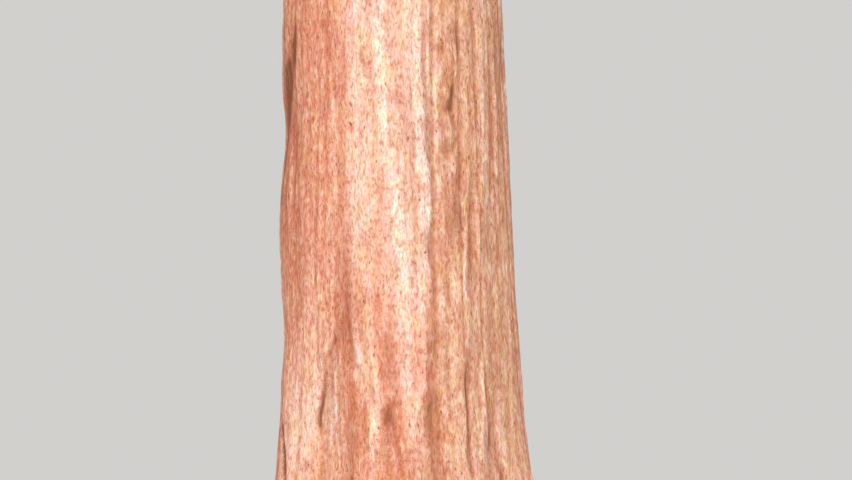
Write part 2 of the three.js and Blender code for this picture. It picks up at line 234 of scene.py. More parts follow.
def furrow_shape(furrow_and_shade, turn, seen):
    """How much of a furrow there is at each point: 0 beside it, about 1 at its middle or its sharp side."""
    aside, inside = from_path(furrow_and_shade["path"], turn, seen)
    breaks = bark_noise(turn, seen, FURROW_BREAKS)
    ends = smooth_share(np.clip(inside / furrow_and_shade["runs_out"], 0, 1))
    strength = ends * np.clip(FURROW_BREAKS["gain"] * breaks, 0, FURROW_BREAKS["most"])
    beside = aside * bole_radius(seen) + FURROW_BREAKS["aside"] * (breaks - 0.5)
    if not furrow_and_shade["side"]:
        return strength * bell(beside, furrow_and_shade["width"])
    sharp_side = bell(beside, EDGE_SOFTNESS)
    return strength * np.where(beside > 0, np.exp(-beside / furrow_and_shade["width"]), sharp_side)


front = np.array(-math.pi / 2)
print("at 4 m, the front is seen at a height of", round(float(height_in_photo(front, 4.0)), 2))

# %% [markdown]
# ## Bark relief
# Sequoia bark is thick, soft and fibrous. Broad flutes run up the bole, furrows part and join between the
# ridges, and shreds of fibre lie on top. A furrow network comes from noise that crosses its middle value:
# the crossing lines branch and meet like the real furrows. The wander bends them a little sideways. The
# furrows, the valleys and the hollows under lumps get painted shade over their own darker bark. On the side
# that the photograph shows, soft spots calm, break, bulge or hollow the bark, or paint shade on it: each is
# (degrees from the front, height, half width in degrees, half height in metres, and strength).

# %% Measures of the bark relief
WANDER = {"round": 9, "a_metre": 0.45, "seed": 11, "by": 0.16}
FLUTES = {"round": 11, "a_metre": 0.10, "seed": 12, "height": 0.050}
RIDGES = {"round": 34, "a_metre": 0.30, "seed": 13, "depth": 0.030, "width": 0.070}
FISSURES = {"round": 92, "a_metre": 0.9, "seed": 14, "depth": 0.010, "width": 0.12}
SHREDS = {"round": 200, "a_metre": 4.5, "seed": 15, "height": 0.010, "streaks": 1.6}
LUMPS = {"round": 84, "a_metre": 5.5, "seed": 16, "height": 0.030, "elsewhere": 0.3}
VALLEY_SHADE = {"full_at": 0.048, "most": 0.7}
LUMP_SHADE = {"by": 0.7, "at": 0.15, "softness": 0.14}
SHADED_MOST = 0.75
SLIM_TRUNK = 0.5
MARKED_SIDE = {"degrees": 75, "softness": 14, "calm": 0.5}
MARKS_END = {"height": 7.0, "softness": 2.0}
CALM_BARK = [(-18, 5.2, 34, 1.9, 0.9), (-5, 3.2, 26, 0.8, 0.7), (-60, 2.4, 24, 1.2, 0.5)]
BROKEN_BARK = [(27, 5.0, 5, 0.9, 0.9), (27, 3.9, 4, 0.5, 0.3), (25, 2.8, 4, 0.6, 0.2), (34, 5.3, 3, 0.6, 0.5),
               (20, 1.5, 6, 0.5, 0.4), (-66, 4.6, 5, 0.9, 0.5), (-36, 1.9, 6, 0.5, 0.15)]
BULGES = [(-85, 4.4, 26, 0.35, -0.040), (-85, 3.6, 26, 0.45, 0.022), (-85, 2.45, 26, 0.35, -0.028),
          (-85, 1.0, 26, 0.45, -0.020), (88, 1.2, 26, 0.7, -0.030)]
VALLEYS = [(-4.5, 1.45, 5, 0.55, 0.010), (-24, 1.3, 5, 0.5, 0.010), (-27, 2.75, 5, 0.4, 0.018)]
SHADED_BARK = [(-68, 4.9, 7, 0.8, 0.35), (-80, 4.4, 10, 1.3, 0.6), (-60, 3.3, 8, 0.9, 0.15),
               (-16, 5.24, 1.8, 0.06, 0.6), (23, 5.30, 3.0, 0.05, 0.6), (26.5, 5.02, 2, 0.05, 0.5),
               (30.5, 4.84, 1.4, 0.13, 0.35), (25, 4.53, 4.0, 0.05, 0.5), (24.5, 4.29, 2.5, 0.05, 0.5),
               (29, 3.60, 4, 0.12, 0.7), (-5.5, 2.33, 1.7, 0.13, 0.6), (-5.5, 2.10, 2.2, 0.05, 0.4),
               (-5, 1.70, 3.0, 0.20, 0.25), (-8, 1.30, 3.5, 0.15, 0.35), (-39.5, 2.22, 1.4, 0.12, 0.5),
               (-24, 2.72, 2.5, 0.12, 0.2), (-19, 1.45, 4.0, 0.20, 0.3), (20, 2.25, 2.5, 0.2, 0.2)]
spot_lists = (CALM_BARK, BROKEN_BARK, BULGES, VALLEYS, SHADED_BARK)
print("soft spots of relief and shade:", sum(len(listed) for listed in spot_lists))

# %% Bark relief


def step(value, at, softness):
    return smooth_share(np.clip((value - at) / softness + 0.5, 0, 1))


def spots(degrees, height, listed):
    return sum(s * np.exp(-(((degrees - d) / w) ** 2) - ((height - h) / t) ** 2) for d, h, w, t, s in listed)


def patches(degrees, height, listed):
    return np.clip(spots(degrees, height, listed), 0, 1)


def on_marked_side(degrees, height):
    beside = 1 - step(np.abs(degrees), MARKED_SIDE["degrees"], MARKED_SIDE["softness"])
    return beside * (1 - step(height, MARKS_END["height"], MARKS_END["softness"]))


def centred_noise(turn, height, pattern):
    return bark_noise(turn, height, pattern) - 0.5


def crossing(turn, height, pattern):
    return bell(centred_noise(turn, height, pattern), pattern["width"])


def wandering(turn, height):
    """The turn, bent a little sideways, so that an upright pattern sways as it climbs."""
    return turn + WANDER["by"] * centred_noise(turn, height, WANDER)


def bark_relief(turn, height):
    """How far the bark stands out from the bole, and its darkness from 0 to 1: furrow bark and painted shade.
    """
    bent = wandering(turn, height)
    degrees = degrees_from_front(turn)
    seen = height_in_photo(turn, height)
    marked = on_marked_side(degrees, height)
    flutes = FLUTES["height"] * centred_noise(bent, height, FLUTES)
    calm = (1 - patches(degrees, seen, CALM_BARK)) * (1 - MARKED_SIDE["calm"] * marked)
    ridges = crossing(bent, height, RIDGES) * calm
    fissures = crossing(bent, height, FISSURES) * calm
    shreds = centred_noise(bent, height, SHREDS)
    lumps = centred_noise(bent, height, LUMPS)
    broken = patches(degrees, seen, BROKEN_BARK) + LUMPS["elsewhere"] * (1 - marked)
    valleys = RIDGES["depth"] * ridges + FISSURES["depth"] * fissures + patches(degrees, seen, VALLEYS)
    shapes = [furrow_shape(furrow_and_shade, turn, seen) for furrow_and_shade in FURROWS]
    depth = valleys + sum(furrow_and_shade["depth"] * shape for furrow_and_shade, shape in zip(FURROWS, shapes))
    # Painted shade over the furrows' darker bark; a tint above 1 paints deep shadow.
    tints = [furrow_and_shade["tint"] * shape for furrow_and_shade, shape in zip(FURROWS, shapes)]
    darkest = sum(tint for furrow_and_shade, tint in zip(FURROWS, tints) if furrow_and_shade["tint"] > 1)
    in_valleys = np.clip(valleys / VALLEY_SHADE["full_at"], 0, VALLEY_SHADE["most"])
    shaded = sum(tints) - darkest + in_valleys + patches(degrees, seen, SHADED_BARK)
    under_lumps = LUMP_SHADE["by"] * broken * step(-lumps, LUMP_SHADE["at"], LUMP_SHADE["softness"])
    shaded = np.clip(shaded + under_lumps, 0, SHADED_MOST)
    size = np.clip(bole_radius(height) / BOLE_RADIUS, 0, 1) ** SLIM_TRUNK
    raised = flutes + SHREDS["height"] * shreds + LUMPS["height"] * broken * lumps
    relief = (raised - depth) * size + spots(degrees, height, BULGES)
    return relief, np.clip(shaded + darkest * (1 + SHREDS["streaks"] * shreds), 0, 1)


sample_turn = np.linspace(0, 2 * math.pi, 400)
sample_relief, _ = bark_relief(sample_turn, np.full(400, 3.0))
print("relief at 3 m:", round(float(sample_relief.min()), 3), "to", round(float(sample_relief.max()), 3))

# %% [markdown]
# ## Where the bark is pale, rusty or tan
# In the photograph the middle of the bole is bleached to cream, the left is salmon, and right of the pale
# ridge the bark turns tan. Low down there are rusty patches, and two rust-coloured patches high on the left
# rim are painted shade. They are soft spots like those of the relief. Farther round, noise deals the tints
# out.

# %% Tints of the bark
PALE_PATCHES = [
    (-5, 5.2, 20, 1.9, 1.0), (12, 4.9, 7, 1.9, 0.9), (4, 3.2, 10, 0.9, 0.6), (-22, 3.6, 6, 0.8, 0.5),
    (-54, 1.6, 13, 0.8, 0.9), (-12, 1.7, 2.5, 0.4, 0.7), (-34, 1.8, 5, 0.6, 0.9), (-18, 2.2, 3, 0.3, 0.8),
    (7.5, 1.5, 2.5, 0.4, 0.6), (-47, 3.0, 8, 0.5, 0.2), (33, 2.1, 1.5, 1.2, 0.7), (2, 2.2, 5, 0.3, 0.4),
    (50, 4.7, 3, 1.4, 0.5), (58, 4.8, 2, 1.4, 0.3), (38, 2.6, 3, 0.7, 0.5), (28, 1.2, 4, 0.6, 0.3),
    (38.5, 1.45, 4, 0.35, 0.9), (-5, 1.90, 3, 0.03, 0.6), (3.3, 1.75, 2, 0.5, 0.6),
]
RUST_AND_SHADE_PATCHES = [
    (-26, 2.7, 6, 0.40, 0.6), (-4, 2.3, 4, 0.30, 0.6), (-20, 1.7, 6, 0.35, 0.2), (-2, 1.4, 7, 0.45, 0.15),
    (14, 1.3, 6, 0.35, 0.7), (-58, 3.6, 9, 0.8, 0.5), (25, 5.25, 3, 0.12, 0.8), (29, 4.95, 3, 0.10, 0.7),
    (32, 4.1, 2, 0.40, 0.4), (28, 3.7, 3, 0.12, 0.8), (25, 3.4, 4, 0.20, 0.6), (31, 1.8, 4, 0.4, 0.4),
    # The first two, at -78 and -66 degrees high on the left rim, are painted shade.
    (-78, 4.9, 12, 1.5, 1.0), (-66, 4.15, 7, 0.6, 1.0), (-16, 5.24, 2, 0.07, 0.9), (-47, 4.6, 3, 1.5, 0.4),
    (24, 2.5, 3, 0.25, 0.4), (39, 1.8, 4, 0.7, 0.3), (17, 1.5, 5, 0.5, 0.6), (-24, 1.2, 3, 0.4, 0.2),
    (22, 1.15, 12, 0.2, 0.4), (54, 1.7, 4, 0.6, 0.3), (11, 3.35, 3, 0.25, 0.5), (22, 5.6, 4, 0.3, 0.4),
]
TAN_SOFTNESS = 3.0
TINTS_ELSEWHERE = [{"round": 13, "a_metre": 0.35, "seed": seed} for seed in (21, 22, 23)]
PALE_ELSEWHERE = 0.75


def bark_tints(turn, height):
    """How pale, rusty and tan each point of the bark is, each from 0 to 1; rusty also paints some shade."""
    degrees = degrees_from_front(turn)
    marked = on_marked_side(degrees, height)
    seen = height_in_photo(turn, height)
    edge_degrees, edge_heights = np.array(PALE_RIDGE["path"], float).T
    edge = np.interp(seen, edge_heights, edge_degrees)
    tan_here = step(degrees, edge + TAN_SOFTNESS / 2, TAN_SOFTNESS)
    pale, rusty, tan = (smooth_share(bark_noise(turn, height, pattern)) for pattern in TINTS_ELSEWHERE)
    pale = mix(PALE_ELSEWHERE * pale, patches(degrees, seen, PALE_PATCHES), marked)
    rusty = mix(rusty**2, patches(degrees, seen, RUST_AND_SHADE_PATCHES), marked)
    return pale, rusty, mix(tan, tan_here, marked)


print("tints at the front:", [round(float(tint), 2) for tint in bark_tints(front, np.array(4.0))])

# %% [markdown]
# ## Soft streaks
# Between the furrows run soft streaks, pale on a rounded crest and redder in the hollow beside it, which
# part and meet again as they climb. A pale streak is partly painted highlight and a dark one partly painted
# shade, over the bark's own tone. Each has a strength, above 0 for a pale streak and below 0 for a dark
# one, a half width in metres, and a path like a furrow's. Farther round, noise takes their place.

# %% Soft streaks
STREAKS = [
    (0.8, 0.06, [(-42, 3.8), (-40, 4.8), (-40, 6.8)]),
    (0.5, 0.08, [(-44, 1.6), (-42, 2.4), (-47, 3.4)]),
    (1.0, 0.05, [(-34, 2.9), (-35, 3.4), (-31, 3.9), (-29, 5.2)]),
    (0.7, 0.07, [(-12, 0.5), (-12, 1.8), (-15, 2.3), (-15, 2.9), (-18, 4.7), (-20, 6.8)]),
    (0.9, 0.06, [(3, 2.5), (1, 3.6), (-4, 4.3), (-7, 5.0), (-6, 6.8)]),
    (0.5, 0.07, [(17, 3.3), (16, 4.0), (10, 4.9), (12, 6.8)]),
    # This pale streak paints light over the shade beside the pale ridge's edge.
    (1.0, 0.04, [(17, 3.4), (19, 5.1)]),
    (0.5, 0.07, [(21, 1.8), (23, 2.5), (28, 3.4)]),
    (0.5, 0.05, [(23, 1.3), (27, 1.8), (30, 2.2)]),
    (0.6, 0.06, [(38, 1.5), (42, 1.8), (47, 2.2)]),
    (0.3, 0.07, [(51, 2.7), (48, 4.4), (53, 6.8)]),
    (0.7, 0.06, [(55, 0.5), (55, 1.2), (52, 1.7)]),
    (-0.6, 0.11, [(-61, 4.1), (-59, 4.6)]),
    (-0.5, 0.07, [(-52, 2.8), (-51, 3.5)]),
    (-0.7, 0.05, [(-38, 0.5), (-38, 1.7)]),
    (-0.6, 0.05, [(-36, 3.9), (-34, 6.8)]),
    (-0.9, 0.05, [(-23, 2.9), (-26, 3.4), (-27, 4.1), (-25, 5.2)]),
    (-0.5, 0.06, [(-26, 2.0), (-25, 2.7)]),
    (-0.8, 0.06, [(-21, 1.3), (-21, 2.0)]),
    (-0.4, 0.05, [(-10, 2.4), (-10, 3.2)]),
    (-0.7, 0.05, [(-6, 3.5), (-10, 4.7), (-12, 5.7)]),
    (-0.3, 0.06, [(-5, 2.1), (-4, 2.6)]),
    (-0.6, 0.06, [(9, 3.2), (5, 4.8), (1, 5.8), (1, 6.8)]),
    (-0.6, 0.03, [(16, 5.3), (17, 6.8)]),
    (-0.8, 0.04, [(24, 5.2), (27, 5.8), (27, 6.8)]),
    (-0.6, 0.05, [(25, 3.4), (25, 3.8)]),
    (-0.6, 0.04, [(29, 3.8), (31, 4.0), (35, 4.6)]),
    (-0.6, 0.06, [(32, 1.9), (34, 2.3), (38, 2.9), (41, 3.4)]),
    (-0.3, 0.05, [(35, 2.9), (34, 3.7)]),
    (-0.4, 0.05, [(36, 4.9), (38, 6.8)]),
    (-0.6, 0.06, [(44, 3.4), (46, 3.8)]),
    (-0.6, 0.05, [(44, 4.5), (47, 5.2)]),
    (-0.6, 0.07, [(57, 3.8), (55, 4.2), (58, 5.0)]),
]
STREAK_RUNS_OUT = 0.4
STREAKS_ELSEWHERE = {"round": 52, "a_metre": 0.7, "seed": 31, "by": 0.7}


def streak_tone(turn, height):
    """0.5 where the bark keeps its own tone, towards 1 on a pale streak, towards 0 on a dark one."""
    seen = height_in_photo(turn, height)
    drawn = np.zeros(np.shape(turn))
    for strength, width, path in STREAKS:
        aside, inside = from_path(path, turn, seen)
        drawn = drawn + strength * step(inside, 0, STREAK_RUNS_OUT) * bell(aside * bole_radius(height), width)
    dealt = bark_noise(wandering(turn, height), height, STREAKS_ELSEWHERE)
    dealt = STREAKS_ELSEWHERE["by"] * (2 * dealt - 1)
    marked = on_marked_side(degrees_from_front(turn), height)
    return 0.5 + 0.5 * np.clip(mix(dealt, drawn, marked), -1, 1)


print("soft streaks:", len(STREAKS))

# %% [markdown]
# ## A sheet wrapped round a limb
# A trunk or a bough is a sheet of quads rolled into a tube. `create_grid` makes the sheet and its UV map,
# each vertex is carried to its place round the limb, the seam is merged, and the two ends are filled. The
# UV map stays as regular as the sheet.

# %% A sheet wrapped round a limb
BAKE_MAP = "OFBake"
CAP_STRIP = 0.04
SEAM_REACH = 0.1
MERGE_DISTANCE = 1e-5


def wrapped_sheet(name, columns, rows, place):
    """place(around, along), both from 0 to 1, gives the points and a value for each named attribute."""
    bm = bmesh.new()
    uv = bm.loops.layers.uv.new(BAKE_MAP)
    bmesh.ops.create_grid(bm, x_segments=columns, y_segments=rows, size=1, calc_uvs=True)
    shares = (np.array([vertex.co.xy for vertex in bm.verts]) + 1) / 2
    for loop in (loop for face in bm.faces for loop in face.loops):
        loop[uv].uv.y = mix(CAP_STRIP, 1, loop[uv].uv.y)
    points, values = place(shares[:, 0], shares[:, 1])
    for vertex, point in zip(bm.verts, points.tolist()):
        vertex.co = point
    for attribute, amounts in values.items():
        kinds = bm.verts.layers.float if amounts.ndim == 1 else bm.verts.layers.float_vector
        layer = kinds.new(attribute)
        for vertex, amount in zip(bm.verts, amounts.tolist()):
            vertex[layer] = amount
    on_seam = np.minimum(shares[:, 0], 1 - shares[:, 0]) < SEAM_REACH / columns
    seam = [vertex for vertex, found in zip(bm.verts, on_seam) if found]
    bmesh.ops.remove_doubles(bm, verts=seam, dist=MERGE_DISTANCE)
    rims = [edge for edge in bm.edges if edge.is_boundary]
    for edge in rims:
        edge.smooth = False
    caps = bmesh.ops.holes_fill(bm, edges=rims, sides=0)["faces"]
    for cap in caps:
        for index, loop in enumerate(cap.loops):
            loop[uv].uv = (index / len(cap.loops), CAP_STRIP / 2 * (index % 2))
    bmesh.ops.recalc_face_normals(bm, faces=bm.faces)
    mesh = bpy.data.meshes.new(name)
    bm.to_mesh(mesh)
    bm.free()
    mesh.polygons.foreach_set("use_smooth", [True] * len(mesh.polygons))
    return add_object(name, mesh)


# %% [markdown]
# ## Building a material
# A material here is a row of nodes. One helper adds a node, sets its options, and gives each socket either
# a plain value or a link. The others blend colours and lay one over another where a ramp of a pattern's
# values says so, so that a material reads from top to bottom.

# %% Helpers for nodes


def add_node(tree, kind, settings=None, sockets=None):
    made = tree.nodes.new(kind)
    for setting, value in (settings or {}).items():
        setattr(made, setting, value)
    for socket, value in (sockets or {}).items():
        if isinstance(value, bpy.types.NodeSocket):
            tree.links.new(value, made.inputs[socket])
        else:
            made.inputs[socket].default_value = value
    return made


def new_material(name, roughness, specular=0.5):
    material = bpy.data.materials.new(name)
    material.use_nodes = True
    surface = material.node_tree.nodes["Principled BSDF"]
    surface.inputs["Roughness"].default_value = roughness
    surface.inputs["Specular IOR Level"].default_value = specular
    return material, material.node_tree, surface


def blend_colour(tree, share, below, above, how="MIX"):
    settings = {"data_type": "RGBA", "blend_type": how}
    return add_node(tree, "ShaderNodeMix", settings, {0: share, 6: below, 7: above}).outputs[2]


def any_colour(value):
    return (*value, 1) if isinstance(value, tuple) else (value, value, value, 1)


def ramp(tree, value, stops):
    made = add_node(tree, "ShaderNodeValToRGB", sockets={"Fac": value})
    first, last = made.color_ramp.elements
    first.position, first.color = stops[0][0], any_colour(stops[0][1])
    last.position, last.color = stops[-1][0], any_colour(stops[-1][1])
    for position, value in stops[1:-1]:
        made.color_ramp.elements.new(position).color = any_colour(value)
    return made.outputs["Color"]


def laid_over(tree, colour, above, value, stops):
    return blend_colour(tree, ramp(tree, value, stops), colour, above)


def toned(tree, colour, value, stops, share=1.0):
    return blend_colour(tree, share, colour, ramp(tree, value, stops), "MULTIPLY")


# %% [markdown]
# ## Bark material
# The fibres are too fine for the mesh, so noise stretched along the trunk draws them: fine streaks, broader
# bands of lighter and darker fibre, and small dark flecks where a shred has come away. The tints, the soft
# streaks and the furrows' darker bark with its painted shade come from the mesh's own attributes, because
# they follow the trunk's shape. The fleck colour also paints the deep shadow of the darkest grooves. A ramp
# is a list of (value, colour or share), and blends from one to the next.

# %% Colours and patterns of the bark
# Furrow colour: darker furrow bark and painted shade. Fleck colour: flecks and painted deep shadow.
TRUNK_COLOURS = {
    "salmon": (0.680, 0.275, 0.165), "cream": (0.850, 0.600, 0.490), "tan": (0.700, 0.385, 0.240),
    "rust": (0.470, 0.152, 0.098), "furrow_and_shade": (0.310, 0.088, 0.036), "fleck_and_deep_shade": (0.180, 0.058, 0.030),
}
BOUGH_COLOURS = {
    "salmon": (0.430, 0.185, 0.112), "cream": (0.560, 0.350, 0.245), "tan": (0.420, 0.245, 0.155),
    "rust": (0.220, 0.092, 0.058), "furrow_and_shade": (0.130, 0.050, 0.032), "fleck_and_deep_shade": (0.080, 0.040, 0.030),
}
SWAY = {"across": 6, "along": 3.5, "detail": 2, "by": 0.06}
PATTERNS = {
    "fibres": {"across": 52, "along": 17, "detail": 4},
    "strands": {"across": 24, "along": 8, "detail": 4},
    "specks": {"across": 24, "along": 13, "detail": 5, "roughness": 0.7},
    "mottles": {"across": 11, "along": 7, "detail": 5, "roughness": 0.75},
    "hues": {"across": 9, "along": 4.5, "detail": 3, "roughness": 0.7},
    "bands": {"across": 8, "along": 0.6, "detail": 3},
    "ribs": {"across": 11, "along": 2.6, "detail": 4, "roughness": 0.7},
    "flecks": {"across": 36, "along": 13, "detail": 1},
    "blotches": {"across": 8, "along": 4.5, "detail": 4, "roughness": 0.7},
}
FIBRE_TONES = [(0.30, (0.70, 0.43, 0.35)), (0.50, 0.96), (0.68, (1.10, 1.22, 1.28))]
HUES = [(0.38, (1.0, 0.95, 1.02)), (0.50, 1.0), (0.62, (1.0, 1.02, 0.87))]
RIBS = [(0.36, (0.86, 0.72, 0.64)), (0.50, 1.0), (0.64, (1.06, 1.16, 1.20))]
STREAK_TONES = [(0.0, (0.85, 0.71, 0.64)), (0.5, 1.0), (1.0, (1.07, 1.24, 1.31))]
MOTTLES = [(0.34, (0.90, 0.72, 0.68)), (0.50, 1.0), (0.66, (1.04, 1.12, 1.14))]
RUST_SHARE = 0.6
SPECKS_ON_TAN = 0.45
print("patterns of the bark:", ", ".join(PATTERNS))

# %% Bark material


def stretched_noise(tree, place, scale, pattern, output="Fac"):
    across, along = pattern["across"] * scale, pattern["along"] * scale
    stretched = add_node(tree, "ShaderNodeMapping", sockets={
        "Vector": place, "Scale": (across, across, along)})
    return add_node(tree, "ShaderNodeTexNoise", sockets={
        "Vector": stretched.outputs[0], "Scale": 1.0, "Detail": pattern["detail"],
        "Roughness": pattern.get("roughness", 0.6)}).outputs[output]


def bark_colour(tree, tint, noise, colours):
    salmon, cream, tan, rust, furrow_and_shade, fleck_and_deep_shade = (any_colour(value) for value in colours.values())
    colour = blend_colour(tree, tint["tan"], salmon, tan)
    colour = blend_colour(tree, tint["pale"], colour, cream)
    rusty = blend_colour(tree, RUST_SHARE, colour, rust)
    colour = blend_colour(tree, tint["rusty"], colour, rusty)
    colour = laid_over(tree, colour, rusty, noise["bands"], [(0.35, 0.4), (0.48, 0.0)])
    colour = laid_over(tree, colour, cream, noise["bands"], [(0.52, 0.0), (0.66, 0.3)])
    colour = laid_over(tree, colour, cream, noise["strands"], [(0.50, 0.0), (0.64, 0.5)])
    colour = toned(tree, colour, tint["streak"], STREAK_TONES)
    colour = toned(tree, colour, noise["hues"], HUES)
    colour = toned(tree, colour, noise["mottles"], MOTTLES)
    colour = toned(tree, colour, noise["ribs"], RIBS, tint["tan"])
    colour = laid_over(tree, colour, rusty, noise["blotches"], [(0.50, 0.0), (0.68, 0.7)])
    specked = laid_over(tree, colour, rust, noise["specks"], [(0.53, 0.0), (0.67, 0.85)])
    scattered = ramp(tree, noise["blotches"], [(0.42, 0.35), (0.60, 1.0)])
    calmer = blend_colour(tree, tint["tan"], any_colour(1.0), any_colour(SPECKS_ON_TAN))
    colour = blend_colour(tree, blend_colour(tree, 1.0, scattered, calmer, "MULTIPLY"), colour, specked)
    colour = toned(tree, colour, noise["fibres"], FIBRE_TONES)
    colour = laid_over(tree, colour, fleck_and_deep_shade, noise["flecks"], [(0.69, 0.0), (0.76, 0.8)])
    # The furrow tint lays on painted shade, and above 0.75 painted deep shadow in the fleck colour.
    colour = laid_over(tree, colour, furrow_and_shade, tint["furrow_and_shade"], [(0.0, 0.0), (0.75, 0.55)])
    return laid_over(tree, colour, fleck_and_deep_shade, tint["furrow_and_shade"], [(0.75, 0.0), (1.0, 0.85)])


def bark_material(name, colours, scale):
    material, tree, surface = new_material(name, roughness=0.92, specular=0.2)
    tint = {word: add_node(tree, "ShaderNodeAttribute", {"attribute_name": word}).outputs["Fac"]
            for word in ("pale", "rusty", "tan", "furrow_and_shade", "streak")}
    straight = add_node(tree, "ShaderNodeAttribute", {"attribute_name": "straight"}).outputs["Vector"]
    sway = stretched_noise(tree, straight, scale, SWAY, "Color")
    place = add_node(tree, "ShaderNodeVectorMath", {"operation": "MULTIPLY_ADD"}, {
        0: sway, 1: (SWAY["by"] / scale,) * 3, 2: straight}).outputs[0]
    noise = {word: stretched_noise(tree, place, scale, pattern) for word, pattern in PATTERNS.items()}
    tree.links.new(bark_colour(tree, tint, noise, colours), surface.inputs["Base Color"])
    height = add_node(tree, "ShaderNodeMath", {"operation": "ADD"}, {0: noise["fibres"], 1: noise["strands"]})
    bump = add_node(tree, "ShaderNodeBump", sockets={
        "Height": height.outputs[0], "Strength": 0.7, "Distance": 0.025})
    tree.links.new(bump.outputs[0], surface.inputs["Normal"])
    return material


trunk_bark = bark_material("trunk_bark", TRUNK_COLOURS, scale=1.0)
bough_bark = bark_material("bough_bark", BOUGH_COLOURS, scale=1.5)
print("nodes of the trunk's bark:", len(trunk_bark.node_tree.nodes))

# %% [markdown]
# ## The trunk's bark
# The trunk is one long sheet of bark, made in three lengths that share the same relief, so their rings meet
# exactly. The lowest has the finest mesh, because the photograph looks at it from close by. A crest, which
# stands out from the bark a little to either side of it, gets a painted highlight, and a hollow gets painted
# shade.

# %% The trunk's bark
TRUNK_COLUMNS = 480
TRUNK_LENGTHS = [
    {"name": "bark_foot", "from": 0.0, "to": 8.0, "rows": 198},
    {"name": "bark_bole", "from": 8.0, "to": 19.0, "rows": 100},
    {"name": "bark_top", "from": 19.0, "to": TRUNK_TIP, "rows": 110},
]
TIP_FADE = 1.0
CREST_SPAN = 0.035
CREST_HEIGHT = 0.008
CREST_LIGHT_AND_SHADE = 0.22


def on_trunk(turn, height):
    relief, furrow_and_shade = bark_relief(turn, height)
    beside = sum(bark_relief(turn + side * CREST_SPAN, height)[0] for side in (-1, 1)) / 2
    crest = np.clip((relief - beside) / CREST_HEIGHT, -1, 1)
    pale, rusty, tan = bark_tints(turn, height)
    # The crest paints a highlight into the pale tint; a hollow paints shade into the furrow tint.
    pale = np.clip(pale + CREST_LIGHT_AND_SHADE * crest, 0, 1)
    furrow_and_shade = np.clip(furrow_and_shade - CREST_LIGHT_AND_SHADE * crest, 0, 1)
    fade = np.clip((TRUNK_TIP - height) / TIP_FADE, 0, 1)
    radius = trunk_radius(height, turn) + relief * fade
    outward = np.stack([np.cos(turn), np.sin(turn), np.zeros_like(turn)], axis=-1)
    points = trunk_axis(height) + outward * radius[:, None]
    straight = points - trunk_axis(height) * (1, 1, 0)
    return points, {"pale": pale, "rusty": rusty, "tan": tan, "furrow_and_shade": furrow_and_shade, "straight": straight,
                    "streak": streak_tone(turn, height)}


for part in TRUNK_LENGTHS:
    length = wrapped_sheet(
        part["name"], TRUNK_COLUMNS, part["rows"],
        lambda around, along: on_trunk(around * 2 * math.pi, mix(part["from"], part["to"], along)))
    length.data.materials.append(trunk_bark)
    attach(length, "root")
    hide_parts("trunk")
    print(part["name"], len(length.data.polygons), "faces")

# %% [markdown]
# ## The crown's rule
# The solid model deals out the masses of foliage by a repeatable stream of numbers: each sits a golden turn
# on from the one below, out at the edge of a rounded crown. The same stream and the same order of draws
# give the same places here.

# %% Masses of the crown
CROWN_FOOT = 25.5 * SCALE
CROWN_RADIUS = 8.9 * SCALE
CROWN_FOOT_SHARE = 0.78
CROWN_WIDENS_BY = 0.25
CROWN_ROUNDNESS = 2.4
CROWN_FULLNESS = 0.75
MASSES = 36
BOUGHS = 22
TOP_MASS_CENTRE = 61.3 * SCALE
MASS_CROWDING = 0.92
GOLDEN_TURN = math.pi * (3 - math.sqrt(5))
MASS_SIZE_FOOT = 3.4 * SCALE
MASS_SIZE_TOP = 2.6 * SCALE
MASS_SHAPE = np.array([0.92, 1.15, 0.96])
MASS_GAP = 0.045
TRUNK_ROOM = 0.35
LEADER_WIDTH = 0.95
LOBES = 3
LOBE_REACH = 0.46
LOBE_OUTWARD = 0.11
LOBE_SIZE = 0.5
MASS_SEED, BOUGH_SEED, LOBE_SEED = 101, 307, 500
MASS_VARIETY = {"size": 0.1, "turn": 0.16, "height": 0.4 * SCALE, "reach": 0.065}
LOBE_VARIETY = {"turn": 0.3, "outward": 0.23}


def seeded_stream(seed):
    state = (seed * 2654435761) % 2**32
    while True:
        state = (state * 1664525 + 1013904223) % 2**32
        yield state / 2**32


def around(middle, spread, draw):
    return mix(middle - spread, middle + spread, next(draw))


def crown_radius(share):
    dome = (1 - share**CROWN_ROUNDNESS) ** CROWN_FULLNESS
    return CROWN_RADIUS * dome * mix(CROWN_FOOT_SHARE, 1, min(1, share / CROWN_WIDENS_BY))


def mass_at(index):
    draw = seeded_stream(MASS_SEED + index)
    share = (index / (MASSES - 1)) ** MASS_CROWDING
    size = mix(MASS_SIZE_FOOT, MASS_SIZE_TOP, share) * around(1, MASS_VARIETY["size"], draw)
    turn = around(index * GOLDEN_TURN, MASS_VARIETY["turn"], draw)
    height = around(mix(CROWN_FOOT + size, TOP_MASS_CENTRE, share), MASS_VARIETY["height"], draw)
    reach = crown_radius((height - CROWN_FOOT) / (TOP - CROWN_FOOT)) * around(1, MASS_VARIETY["reach"], draw)
    distance = max(bole_radius(height) + size * TRUNK_ROOM, reach - size * MASS_SHAPE[0])
    out = np.array([math.cos(turn), math.sin(turn), 0.0])
    return {
        "index": index, "share": share, "size": size, "distance": distance,
        "middle": trunk_axis(height) + out * distance,
        "axes": np.array([out, [-out[1], out[0], 0.0], UP]),
        "half": size * MASS_SHAPE, "outward": LOBE_OUTWARD, "planes": [], "limb": None,
    }


def leader_mass():
    half = (TOP - TRUNK_TIP) / 2
    tip = trunk_axis(TRUNK_TIP)
    return {
        "index": MASSES, "share": 1, "size": half, "distance": 0,
        "middle": tip + UP * half,
        "axes": np.eye(3),
        "half": half * np.array([LEADER_WIDTH, LEADER_WIDTH, 1.0]), "outward": 0, "planes": [],
        "limb": {"tip": tip, "heading": UP, "radius": TIP_RADIUS, "path": []},
    }


